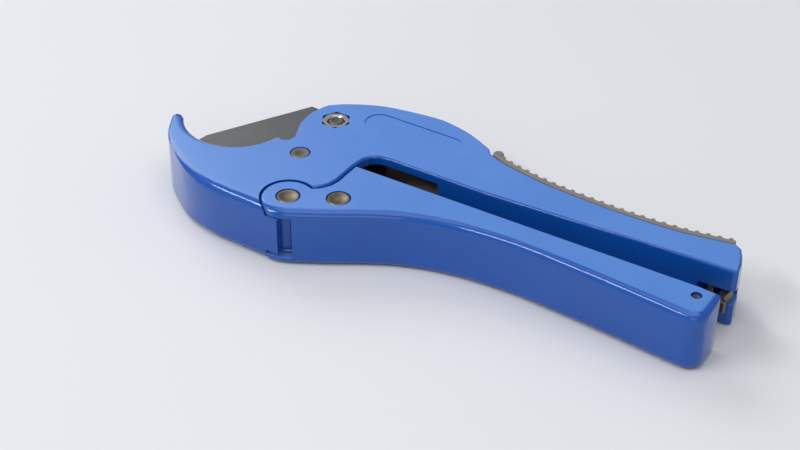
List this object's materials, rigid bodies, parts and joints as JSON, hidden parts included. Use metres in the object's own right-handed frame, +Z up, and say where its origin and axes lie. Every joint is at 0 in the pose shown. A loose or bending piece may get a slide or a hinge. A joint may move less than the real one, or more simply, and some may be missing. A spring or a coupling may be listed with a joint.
{
  "type": "pipe cutter",
  "caption": "Ratchet hand cutter for plastic pipe, with a hooked jaw, a swinging blade, two handles and an end latch.",
  "frame": {"origin": "middle of the footprint of the closed tool lying on its side, on the surface it lies on", "axes": "+X from the hook jaw to the handle end, +Y towards the back of the fixed handle, +Z up through the thickness"},
  "size_m": [0.225, 0.0848, 0.024],
  "materials": {
    "blue_coat": "glossy blue powder coat",
    "grey_rubber": "matt",
    "blade_steel": "ground",
    "dark_steel": "oiled",
    "chrome_plate": "bright",
    "zinc_plate": "yellow zinc plated"
  },
  "bodies": {
    "fixed_handle": {"frame_casting": "blue_coat", "grip_insert": "grey_rubber", "stop_pin": "dark_steel", "blade_bush": "zinc_plate", "blade_bolt": "dark_steel", "blade_washer": "chrome_plate", "blade_nut": "chrome_plate", "blade_spring": "dark_steel", "handle_spring": "dark_steel", "latch_catch_pin": "zinc_plate"},
    "blade_arm": {"blade": "blade_steel"},
    "moving_handle": {"moving_handle": "blue_coat", "handle_rivet": "zinc_plate", "handle_washer_lower": "chrome_plate", "handle_washer_upper": "chrome_plate", "pawl_rivet": "zinc_plate", "pawl_spacer_lower": "zinc_plate", "pawl_spacer_upper": "zinc_plate", "pawl_spring": "dark_steel", "latch_pin": "dark_steel", "latch_spring": "dark_steel"},
    "pawl_arm": {"pawl": "dark_steel"},
    "latch_arm": {"latch_hook": "zinc_plate"}
  },
  "joints": [
    {"name": "blade_swing", "type": "hinge", "parent": "fixed_handle", "child": "blade_arm", "pos_m": [-0.0569, 0.01953, 0.012], "axis": [0, 0, 1], "range_deg": [-72, 0]},
    {"name": "handle_swing", "type": "hinge", "parent": "fixed_handle", "child": "moving_handle", "pos_m": [-0.0428, -0.03237, 0.012], "axis": [0, 0, 1], "range_deg": [-26, 0]},
    {"name": "pawl_swing", "type": "hinge", "parent": "moving_handle", "child": "pawl_arm", "pos_m": [-0.0266, -0.02387, 0.012], "axis": [0, 0, 1], "range_deg": [-1, 33]},
    {"name": "latch_swing", "type": "hinge", "parent": "moving_handle", "child": "latch_arm", "pos_m": [0.105, -0.00667, 0.012], "axis": [0, 0, 1], "range_deg": [-14, 7]}
  ],
  "couplings": [
    {"joint": "pawl_swing", "follows": "handle_swing", "ratio": -1.2}
  ]
}
